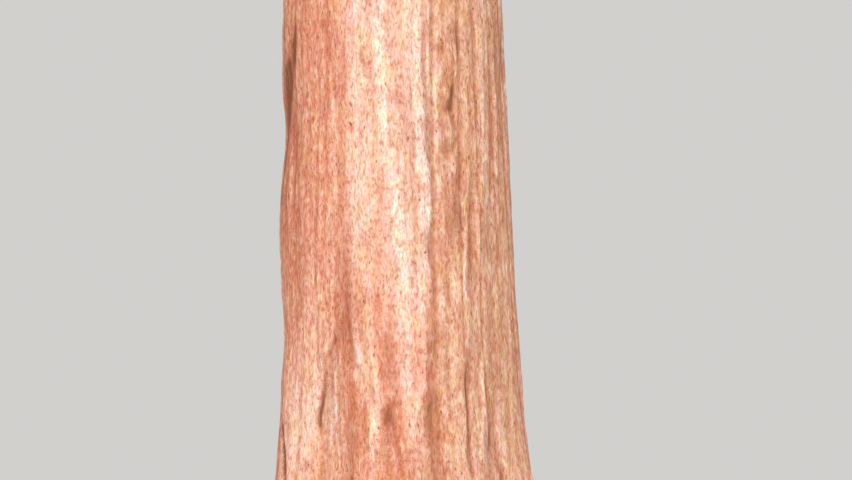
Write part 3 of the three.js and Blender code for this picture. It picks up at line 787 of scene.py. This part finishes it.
masses = [mass_at(index) for index in range(MASSES)]
leader = leader_mass()
print("masses from", round(masses[0]["middle"][2], 2), "to", round(masses[-1]["middle"][2], 2), "m up")

# %% [markdown]
# ## Boughs
# A sequoia's bough leaves the trunk from a swollen collar, sags under its own weight, and turns up at the
# tip. Its path is a cubic Bezier curve, the same as in the solid model. The bark sheet follows it, with
# furrows of its own. It starts a little inside the trunk's bark, so that no gap shows at the collar.

# %% The boughs' paths
BOUGH_RADIUS_FOOT = 0.44 * SCALE
BOUGH_RADIUS_TOP = 0.18 * SCALE
BOUGH_TIP_SHARE = 0.42
BOUGH_TAPER = 0.8
COLLAR_SWELL = 0.4
COLLAR_LENGTH = 0.11
BOUGH_RISE_FOOT = -0.5 * SCALE
BOUGH_RISE_TOP = 1.5 * SCALE
BOUGH_SAG = 0.3
BOUGH_BENDS = (0.4, 0.8)
BEND_RISE = 0.5
BOUGH_VARIETY = {"rise": 0.3 * SCALE, "aside": 0.5 * SCALE}
TIP_DEPTH = (0.66, 0.34)
ROOT_DEPTH = 0.35
PATH_CHECKS = 11


def bezier(points, share):
    share = np.atleast_1d(np.asarray(share, float))[:, None]
    while len(points) > 1:
        points = [mix(a, b, share) for a, b in zip(points, points[1:])]
    return points[0]


def unit(vectors):
    return vectors / np.linalg.norm(vectors, axis=-1, keepdims=True)


def headings(points, share):
    steps = [b - a for a, b in zip(points, points[1:])]
    return unit(bezier(steps, share) + np.zeros((np.size(share), 3)))


def bough_points(mass):
    draw = seeded_stream(BOUGH_SEED + mass["index"])
    out, across, _ = mass["axes"]
    tip_distance = mass["distance"] - mass["half"][0] * TIP_DEPTH[0]
    tip_height = mass["middle"][2] - mass["half"][2] * TIP_DEPTH[1]
    rise = mix(BOUGH_RISE_FOOT, BOUGH_RISE_TOP, mass["share"]) + BOUGH_VARIETY["rise"] * next(draw)
    root_height = tip_height - rise
    root_distance = bole_radius(root_height)
    sag = (tip_distance - root_distance) * BOUGH_SAG
    aside = around(0, BOUGH_VARIETY["aside"], draw)

    def at(distance, height, sideways):
        return trunk_axis(height) + out * distance + across * sideways

    near, far = (mix(root_distance, tip_distance, bend) for bend in BOUGH_BENDS)
    return [
        at(root_distance * ROOT_DEPTH, root_height, 0),
        at(near, root_height - sag, aside),
        at(far, mix(root_height, tip_height, BEND_RISE) - sag, aside),
        at(tip_distance, tip_height, 0),
    ]


def bough_radius(mass, share):
    root = mix(BOUGH_RADIUS_FOOT, BOUGH_RADIUS_TOP, mass["share"])
    collar = 1 + COLLAR_SWELL * np.exp(-np.asarray(share) / COLLAR_LENGTH)
    return root * mix(1, BOUGH_TIP_SHARE, np.asarray(share) ** BOUGH_TAPER) * collar


for mass in masses[:BOUGHS]:
    points = bough_points(mass)
    checks = np.linspace(0, 1, PATH_CHECKS)
    mass["limb"] = {
        "points": points, "tip": points[-1], "heading": headings(points, 1)[0],
        "radius": float(bough_radius(mass, 1.0)),
        "path": list(zip(bezier(points, checks), bough_radius(mass, checks))),
    }
print("boughs:", BOUGHS)

# %% The boughs' bark
BOUGH_COLUMNS = 44
BOUGH_ROWS = 64
BOUGH_GROOVES = {"round": 13, "a_metre": 0.9, "seed": 41, "width": 0.10, "depth": 0.08}
BOUGH_FIBRES = {"round": 22, "a_metre": 5.0, "seed": 42, "height": 0.05}
BOUGH_TINTS = {"round": 5, "a_metre": 1.2, "seed": 43, "pale": 0.5, "rusty": 0.5, "furrow_and_shade": 0.7}
BOUGH_MEASURES = 400
BOUGH_START = 0.74
BOUGH_FOOT_FLARE = 0.22
BOUGH_FOOT_HEIGHT = 0.35
BOUGH_FOOT_LENGTH = 0.14
BOUGH_RUNS_OUT = 0.15


def section_frame(along, side):
    first = unit(side - along * np.sum(along * side, axis=-1, keepdims=True))
    return first, np.cross(along, first)


def off_axis(points):
    return np.linalg.norm((points - trunk_axis(points[:, 2]))[:, :2], axis=-1)


def bark_of_bough(mass):
    points = mass["limb"]["points"]
    fine = np.linspace(0, 1, BOUGH_MEASURES)
    path = bezier(points, fine)
    start = fine[np.argmax(off_axis(path) > bole_radius(path[:, 2]) * BOUGH_START)]
    length = np.linalg.norm(np.diff(path, axis=0), axis=1).sum()

    def place(round_limb, along_limb):
        turn = round_limb * 2 * math.pi
        share = mix(start, 1, along_limb)
        heading = headings(points, share)
        first, second = section_frame(heading, mass["axes"][1])
        middles = bezier(points, share)
        from_bole = off_axis(middles) - bole_radius(middles[:, 2])
        at_foot = np.exp(-np.maximum(from_bole, 0) / BOUGH_FOOT_LENGTH)
        up_bark = share * length + mass["index"]
        groove = crossing(turn, up_bark, BOUGH_GROOVES)
        fibres = centred_noise(turn, up_bark, BOUGH_FIBRES)
        rough = np.clip((1 - share) / BOUGH_RUNS_OUT, 0, 1)
        radius = bough_radius(mass, share) * (1 + BOUGH_FOOT_FLARE * at_foot)
        relief = BOUGH_FIBRES["height"] * fibres - BOUGH_GROOVES["depth"] * groove
        radius = radius * (1 + rough * relief)
        upright = (1 + BOUGH_FOOT_HEIGHT * at_foot) * np.sin(turn)
        around_limb = first * np.cos(turn)[:, None] + second * upright[:, None]
        tint = bark_noise(turn, up_bark, BOUGH_TINTS)
        values = {
            "pale": BOUGH_TINTS["pale"] * tint * rough,
            "rusty": mix(1.0, BOUGH_TINTS["rusty"] * (1 - tint), rough),
            "tan": tint * rough,
            # The grooves get their darker bark with painted shade.
            "furrow_and_shade": BOUGH_TINTS["furrow_and_shade"] * groove * rough,
            "straight": np.stack([np.cos(turn) * radius, np.sin(turn) * radius, up_bark], axis=-1),
            "streak": np.full(len(tint), 0.5),
        }
        return middles + around_limb * radius[:, None], values

    return wrapped_sheet(f"bark_bough_{mass['index'] + 1:02d}", BOUGH_COLUMNS, BOUGH_ROWS, place)


for mass in masses[:BOUGHS]:
    limb = bark_of_bough(mass)
    limb.data.materials.append(bough_bark)
    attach(limb, "root")
    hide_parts(f"bough_{mass['index'] + 1:02d}")
print("bough bark:", BOUGHS, "pieces of", len(limb.data.polygons), "faces")

# %% [markdown]
# ## The space of each mass
# A mass keeps to its own space: an ellipsoid, cut by planes half way to its neighbours and short of every
# other bough and the trunk. The planes are worked out as in the solid model. A shoot that would leave the
# space is cut short at its edge, and dropped if too little is left; a spray that would leave it is skipped.

# %% The space of each mass
CLEARANCE = 0.0003
HALVINGS = 12
NEAR_BOUGH = 1.5


def within_mass(mass, points):
    return (points - mass["middle"]) @ mass["axes"].T / mass["half"]


def point_of_mass(mass, shares):
    return mass["middle"] + (shares * mass["half"]) @ mass["axes"]


def inside_space(mass, points):
    points = np.atleast_2d(points)
    kept = np.linalg.norm(within_mass(mass, points), axis=-1) <= 1
    for normal, foot in mass["planes"]:
        kept &= (points - foot) @ normal >= 0
    return kept


def held_inside(mass, start, ends):
    """The furthest points on the way from start to each end that are still in the mass's space."""
    ends = np.atleast_2d(ends)
    inside, outside = np.zeros(len(ends)), np.ones(len(ends))
    whole = inside_space(mass, ends)
    for _ in range(HALVINGS):
        tried = (inside + outside) / 2
        good = inside_space(mass, mix(start, ends, tried[:, None]))
        inside, outside = np.where(good, tried, inside), np.where(good, outside, tried)
    return mix(start, ends, np.where(whole, 1.0, inside)[:, None])


def keep_short_of(mass, point, gap):
    towards = point - mass["middle"]
    reach = np.linalg.norm(towards) - gap
    towards = unit(towards)
    mass["planes"].append((-towards, mass["middle"] + towards * reach))


def share_out_space(everyone):
    for mass in everyone:
        out = mass["axes"][0]
        beside = bole_radius(mass["middle"][2] - mass["half"][2]) + MASS_GAP
        if mass["distance"]:
            mass["planes"].append((out, trunk_axis(mass["middle"][2]) + out * beside))
        if mass["limb"]:
            heading = mass["limb"]["heading"]
            mass["planes"].append((heading, mass["limb"]["tip"] + heading * CLEARANCE))
        for other in (one for one in everyone if one is not mass):
            share = mass["size"] / (mass["size"] + other["size"])
            keep_short_of(mass, mix(mass["middle"], other["middle"], share), MASS_GAP)
            for point, radius in other["limb"]["path"] if other["limb"] else []:
                if np.linalg.norm(point - mass["middle"]) < mass["size"] * NEAR_BOUGH:
                    keep_short_of(mass, point, radius + MASS_GAP)


def lobe_middles(mass, draw):
    first = next(draw) * 2 * math.pi
    found = []
    for lobe in range(LOBES):
        turn = around(first + lobe * 2 * math.pi / LOBES, LOBE_VARIETY["turn"], draw)
        outward = around(mass["outward"], LOBE_VARIETY["outward"], draw)
        shares = np.array([outward, LOBE_REACH * math.cos(turn), LOBE_REACH * math.sin(turn)])
        found.append(held_inside(mass, mass["middle"], point_of_mass(mass, shares))[0])
    return found


share_out_space([*masses, leader])
for mass in (*masses, leader):
    mass["lobes"] = lobe_middles(mass, seeded_stream(LOBE_SEED + mass["index"]))
print("planes of the first mass:", len(masses[0]["planes"]))

# %% [markdown]
# ## Twigs
# From the limb's tip a stem runs to the middle of its mass, forks to each clump, and there branches again
# into the shoots that carry the foliage. A crown has thousands of such twigs, so they are worked out as
# arrays, three sides each, and joined into one piece. The thick stems have twenty sides and are another.

# %% Many limbs in one mesh
NEARLY_UPRIGHT = 0.9


def joined_mesh(name, points, triangles, material, smooth=False):
    mesh = bpy.data.meshes.new(name)
    mesh.vertices.add(len(points))
    mesh.vertices.foreach_set("co", np.asarray(points, np.float32).ravel())
    mesh.loops.add(triangles.size)
    mesh.loops.foreach_set("vertex_index", np.asarray(triangles, np.int32).ravel())
    mesh.polygons.add(len(triangles))
    mesh.polygons.foreach_set("loop_start", np.arange(0, triangles.size, 3, dtype=np.int32))
    mesh.polygons.foreach_set("loop_total", np.full(len(triangles), 3, np.int32))
    mesh.update(calc_edges=True)
    mesh.validate()
    mesh.polygons.foreach_set("use_smooth", [smooth] * len(mesh.polygons))
    mesh.materials.append(material)
    made = add_object(name, mesh)
    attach(made, "root")
    return made


class LimbHeap:
    """Gathers tapering limbs, each a ring of points at every step of its path, for one joined mesh."""

    def __init__(self, sides):
        self.sides = sides
        self.points = []
        self.triangles = []
        self.count = 0

    def add(self, path, radii):
        steps = len(path)
        along = unit(np.gradient(path, axis=0))
        leaning = abs(along[0][2]) < NEARLY_UPRIGHT
        side = np.cross(along[0], UP) if leaning else np.array([1.0, 0.0, 0.0])
        first, second = section_frame(along, side)
        turns = np.arange(self.sides) * 2 * math.pi / self.sides
        ring = first[:, None] * np.cos(turns)[:, None] + second[:, None] * np.sin(turns)[:, None]
        self.points.append((path[:, None] + ring * np.asarray(radii)[:, None, None]).reshape(-1, 3))
        low = np.arange(steps - 1)[:, None] * self.sides + np.arange(self.sides)
        low_next = np.arange(steps - 1)[:, None] * self.sides + (np.arange(self.sides) + 1) % self.sides
        high, high_next = low + self.sides, low_next + self.sides
        walls = [np.stack([low, low_next, high_next], -1), np.stack([low, high_next, high], -1)]
        inner = np.arange(1, self.sides - 1)
        fan = np.stack([np.zeros_like(inner), inner, inner + 1], -1)
        ends = [fan[:, ::-1], fan + (steps - 1) * self.sides]
        triangles = np.concatenate([*(wall.reshape(-1, 3) for wall in walls), *ends])
        self.triangles.append(triangles + self.count)
        self.count += steps * self.sides


# %% Stems, forks and shoots
STEM_RADIUS = 0.12 * SCALE
STEM_TAPER = 0.6
STEM_OVERLAP = 1.03
STEM_BEND = 0.4
STEM_POINTS = 7
TWIG_ROOT = 0.35
TWIG_SHARE = 0.5
TWIG_POINTS = 4
TWIG_ARCH = 0.06
MIDDLE_LIFT = 0.01
SHOOTS_A_LOBE = 27
SHOOTS_TRIED = 3
SHOOT_RADIUS = 0.016
SHOOT_TIP_SHARE = 0.35
SHOOT_LIFT = 0.18
SHOOT_LIFT_VARIETY = (-0.6, 1)
SHOOT_REACH = (0.62, 1.0)
SHOOT_ROOM = 0.90
SHOOT_FACING = -0.45
SHOOT_DROOP = -0.60
SHORTEST_SHOOT = 0.12
NECK_TUFTS = 16
NECK_SPAN = (TRUNK_TIP - 0.5, TRUNK_TIP + 1.0)
NECK_REACH = (0.30, 0.62)
NECK_RISE = 0.35
NECK_POINTS = 3
NECK_INDEX = MASSES + 1
SHOOT_SEED, NECK_SEED = 7000, 7900
TINY = 1e-6
stems = LimbHeap(20)
twigs = LimbHeap(3)


def stem_of(mass):
    limb = mass["limb"]
    curve = None if limb else bough_points(mass)
    heading = limb["heading"] if limb else headings(curve, 0)[0]
    start = limb["tip"] if limb else curve[0]
    radius = limb["radius"] if limb else STEM_RADIUS
    bend = start + heading * np.linalg.norm(mass["middle"] - start) * STEM_BEND
    share = np.linspace(0, 1, STEM_POINTS)
    stems.add(bezier([start, bend, mass["middle"]], share), radius * mix(STEM_OVERLAP, STEM_TAPER, share))
    return start, radius


def shoots_of(mass, lobe, rng):
    """The ends of one clump's shoots, in the mass's space."""
    heading = unit(rng.normal(size=(SHOOTS_A_LOBE * SHOOTS_TRIED, 3)))
    outside = lobe - mass["middle"] + mass["axes"][0] * mass["size"] * mass["outward"]
    facing = heading @ unit(outside + UP * TINY) > SHOOT_FACING
    heading = heading[facing & (heading[:, 2] > SHOOT_DROOP)][:SHOOTS_A_LOBE]
    reach = LOBE_SIZE * mass["half"].mean() * rng.uniform(*SHOOT_REACH, (len(heading), 1))
    return held_inside(mass, lobe, lobe + heading * reach * SHOOT_ROOM)


def neck_shoots(rng):
    """Short shoots round the trunk's slim tip, where the highest masses leave a gap."""
    for index in range(NECK_TUFTS):
        height = mix(*NECK_SPAN, (index + 0.5) / NECK_TUFTS)
        turn = index * GOLDEN_TURN
        start = trunk_axis(min(height, TRUNK_TIP)) + UP * max(0, height - TRUNK_TIP)
        end = start + np.array([math.cos(turn), math.sin(turn), NECK_RISE]) * rng.uniform(*NECK_REACH)
        yield start, end


def tuft_at(index, root, end):
    length = np.linalg.norm(end - root)
    return {"mass": index, "end": end, "outward": unit(end - root), "length": length}


tufts = []
shoot_tip = SHOOT_RADIUS * SHOOT_TIP_SHARE
for mass in (*masses, leader):
    rng = np.random.default_rng(SHOOT_SEED + mass["index"])
    start, radius = stem_of(mass)
    fork = mix(mass["middle"], start, TWIG_ROOT)
    share = np.linspace(0, 1, TWIG_POINTS)
    for lobe in (*mass["lobes"], mass["middle"] + UP * MIDDLE_LIFT):
        lift = np.outer(np.sin(share * math.pi), UP) * TWIG_ARCH
        twigs.add(mix(fork, lobe, share[:, None]) + lift, radius * TWIG_SHARE * mix(1, TWIG_SHARE, share))
        for end in shoots_of(mass, lobe, rng):
            length = np.linalg.norm(end - lobe)
            if length < SHORTEST_SHOOT:
                continue
            bend = mix(lobe, end, 0.5) + UP * length * SHOOT_LIFT * rng.uniform(*SHOOT_LIFT_VARIETY)
            twigs.add(bezier([lobe, bend, end], share), mix(SHOOT_RADIUS, shoot_tip, share))
            tufts.append(tuft_at(mass["index"], lobe, end))
for start, end in neck_shoots(np.random.default_rng(NECK_SEED)):
    share = np.linspace(0, 1, NECK_POINTS)
    twigs.add(mix(start, end, share[:, None]), (SHOOT_RADIUS, SHOOT_RADIUS, shoot_tip))
    tufts.append(tuft_at(NECK_INDEX, start, end))
print("shoots:", len(tufts), "twig triangles:", sum(len(t) for t in twigs.triangles))

# %% Twig material and pieces
TWIG_DARK = (0.150, 0.070, 0.040, 1)
TWIG_LIGHT = (0.300, 0.150, 0.085, 1)


def twig_material():
    material, tree, surface = new_material("twig_bark", roughness=0.85)
    place = add_node(tree, "ShaderNodeTexCoord").outputs["Object"]
    grain = add_node(tree, "ShaderNodeTexNoise", sockets={"Vector": place, "Scale": 22.0, "Detail": 3.0})
    colour = laid_over(tree, TWIG_DARK, TWIG_LIGHT, grain.outputs["Fac"], [(0.35, 0.0), (0.65, 1.0)])
    tree.links.new(colour, surface.inputs["Base Color"])
    return material


twig_bark = twig_material()
for name, heap in (("foliage_stems", stems), ("foliage_twigs", twigs)):
    points, triangles = np.concatenate(heap.points), np.concatenate(heap.triangles)
    joined_mesh(name, points, triangles, twig_bark, smooth=True)
    print(name, len(triangles), "triangles")

# %% [markdown]
# ## Sprays of needles
# Sequoia needles are short scales that hug their shoot, so a spray looks like a bunch of pointed cords. One
# spray is a leading cord and five side cords, each a slim pyramid of four faces. It is drawn once, then
# copied thousands of times: a tuft at the end of each shoot fans its sprays out, up and to the light.

# %% One spray
SIDE_CORDS = 5
CORD_WIDTH = 0.095
SIDE_CORD_LENGTH = 0.55
SIDE_CORD_SPREAD = 0.75
SIDE_CORDS_UP_TO = 0.75
FIRST_CORD = 0.6
CORD_ROOM = 1.2
LESS_TOWARDS_TIP = 0.35
NO_CORD_POINTS_HERE = (0.3, 1.0, 0.1)
NECK_SPACE = 1.6


def one_spray():
    """Points and triangles of a spray of length 1 along Z."""
    cords = [(np.zeros(3), np.array([0.0, 0.0, 1.0]), 1.0)]
    for index in range(SIDE_CORDS):
        share = (index + FIRST_CORD) / (SIDE_CORDS + CORD_ROOM)
        turn = index * GOLDEN_TURN
        lean = SIDE_CORD_SPREAD * (1 - LESS_TOWARDS_TIP * share)
        heading = np.array([math.sin(lean) * math.cos(turn), math.sin(lean) * math.sin(turn), math.cos(lean)])
        length = SIDE_CORD_LENGTH * (1 - LESS_TOWARDS_TIP * share)
        cords.append((UP * share * SIDE_CORDS_UP_TO, heading, length))
    points, triangles = [], []
    for root, heading, length in cords:
        side = np.cross(heading, NO_CORD_POINTS_HERE)
        first, second = section_frame(heading, side)
        turns = np.arange(3) * 2 * math.pi / 3
        base = [root + (first * math.cos(t) + second * math.sin(t)) * CORD_WIDTH * 0.5 for t in turns]
        start = len(points)
        points += [*base, root + heading * length]
        triangles += [[start, start + 1, start + 3], [start + 1, start + 2, start + 3],
                      [start + 2, start, start + 3], [start, start + 2, start + 1]]
    return np.array(points), np.array(triangles)


spray_points, spray_triangles = one_spray()
neck = {
    "index": NECK_INDEX, "middle": trunk_axis(TRUNK_TIP), "axes": np.eye(3),
    "half": np.ones(3) * NECK_SPACE, "planes": [],
}
print("one spray:", len(spray_triangles), "faces")

# %% Where each spray grows
SPRAYS_A_TUFT = 12
SPRAY_LENGTH = (0.34, 0.50)
SPRAY_FAN = 0.75
SPRAY_LIFT = 0.30
SPRAY_ROOTS = (0, 0.55)
SPRAY_SEED = 9000
TUFT_TONES = 0.5
LIGHT = {"openness": 2.2, "upright": 0.9, "tuft": 0.5, "spray": 0.35}


def grow_sprays():
    """Roots, headings, lengths and a light score for every spray that stays in its mass's space."""
    rows = []
    for mass in (*masses, leader, neck):
        rng = np.random.default_rng(SPRAY_SEED + mass["index"])
        own = [tuft for tuft in tufts if tuft["mass"] == mass["index"]]
        ends, outward, reach = (np.repeat([tuft[word] for tuft in own], SPRAYS_A_TUFT, axis=0)
                                for word in ("end", "outward", "length"))
        root = ends - outward * reach[:, None] * rng.uniform(*SPRAY_ROOTS, (len(ends), 1))
        heading = unit(outward + rng.normal(size=root.shape) * SPRAY_FAN + UP * SPRAY_LIFT)
        length = rng.uniform(*SPRAY_LENGTH, len(root))
        tip = root + heading * length[:, None]
        kept = inside_space(mass, tip) & inside_space(mass, root)
        tone = np.repeat(rng.normal(0, TUFT_TONES, len(own)), SPRAYS_A_TUFT)
        # The light score paints light and shade: sprays far out in their mass and pointing up get lighter
        # greens.
        openness = np.linalg.norm(within_mass(mass, tip), axis=-1)
        light = LIGHT["openness"] * openness + LIGHT["upright"] * heading[:, 2] + LIGHT["tuft"] * tone
        light = light + rng.normal(0, LIGHT["spray"], len(root))
        rows.append([value[kept] for value in (root, heading, length, light)])
    return [np.concatenate(column) for column in zip(*rows)]


roots, spray_headings, lengths, light = grow_sprays()
print("sprays:", len(roots), "faces:", len(roots) * len(spray_triangles))

# %% [markdown]
# ## Foliage colours
# The foliage's light and shade are painted into its colours: dark green is painted shade inside a clump and
# yellow-green is painted light where a spray is open and upright, with a random tone for each tuft. Each
# spray gets one plain colour by that score, and the sprays of one colour are one piece.

# %% Foliage pieces
# Steps of painted light, from painted shade inside a clump to painted sunlight.
GREENS = [
    ("foliage_inner", (0.036, 0.062, 0.028, 1)),
    ("foliage_shade", (0.058, 0.100, 0.038, 1)),
    ("foliage_deep", (0.092, 0.146, 0.048, 1)),
    ("foliage_mid", (0.138, 0.198, 0.058, 1)),
    ("foliage_open", (0.200, 0.262, 0.072, 1)),
    ("foliage_sunlit", (0.285, 0.340, 0.098, 1)),
]


def needle_material(name, colour):
    material, _, surface = new_material(name, roughness=0.62, specular=0.35)
    surface.inputs["Base Color"].default_value = colour
    return material


def placed_sprays(chosen, rng):
    heading = spray_headings[chosen]
    side = np.cross(heading, unit(rng.normal(size=heading.shape)))
    first, second = section_frame(heading, side)
    frames = np.stack([first, second, heading], axis=1)
    shape = np.einsum("vk,nkc->nvc", spray_points, frames) * lengths[chosen][:, None, None]
    points = (roots[chosen][:, None] + shape).reshape(-1, 3)
    starts = np.arange(len(heading))[:, None, None] * len(spray_points)
    return points, (spray_triangles[None] + starts).reshape(-1, 3)


foliage_nodes = [f"foliage_{index + 1:02d}" for index in range(MASSES)] + ["leader_foliage"]
by_light = np.array_split(np.argsort(light, kind="stable"), len(GREENS))
for (name, colour), chosen in zip(GREENS, by_light):
    points, triangles = placed_sprays(chosen, np.random.default_rng(len(name)))
    piece = joined_mesh(name, points, triangles, needle_material(name, colour))
    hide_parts(*foliage_nodes)
    print(name, len(triangles), "triangles")

# %% [markdown]
# ## Floor and light
# The stage is plain: a wide pale floor, a pale sky that lights from all around, and one large soft sun from
# the front and a little to the left, as in the photograph, so the bark is lit almost flat. A second sun,
# faint and very soft, lights from behind at the right.

# %% Floor and light
FLOOR_RADIUS = 1200
FLOOR_SIDES = 96
FLOOR_DROP = 0.002
FLOOR_COLOUR = (0.62, 0.62, 0.60, 1)
SKY_COLOUR = (0.85, 0.84, 0.82, 1)
SKY_STRENGTH = 0.75


def plain_floor():
    bm = bmesh.new()
    bmesh.ops.create_circle(bm, cap_ends=True, segments=FLOOR_SIDES, radius=FLOOR_RADIUS)
    mesh = bpy.data.meshes.new("floor")
    bm.to_mesh(mesh)
    bm.free()
    material, _, surface = new_material("floor", roughness=0.9)
    surface.inputs["Base Color"].default_value = FLOOR_COLOUR
    mesh.materials.append(material)
    made = add_object("floor", mesh)
    made.location.z = -FLOOR_DROP


def sun(name, towards, strength, degrees_wide, colour):
    data = bpy.data.lights.new(name, "SUN")
    data.energy = strength
    data.angle = math.radians(degrees_wide)
    data.color = colour
    made = add_object(name, data)
    made.rotation_euler = Vector(towards).to_track_quat("-Z", "Y").to_euler()


plain_floor()
sun("key", towards=(0.14, 1.0, -0.55), strength=3.1, degrees_wide=8, colour=(1.0, 0.95, 0.89))
sun("fill", towards=(-0.8, -0.7, -0.5), strength=0.6, degrees_wide=40, colour=(1.0, 0.97, 0.93))
world = bpy.data.worlds.new("studio")
world.use_nodes = True
sky = world.node_tree.nodes["Background"]
sky.inputs["Color"].default_value = SKY_COLOUR
sky.inputs["Strength"].default_value = SKY_STRENGTH
scene.world = world
scene.view_settings.view_transform = "Standard"
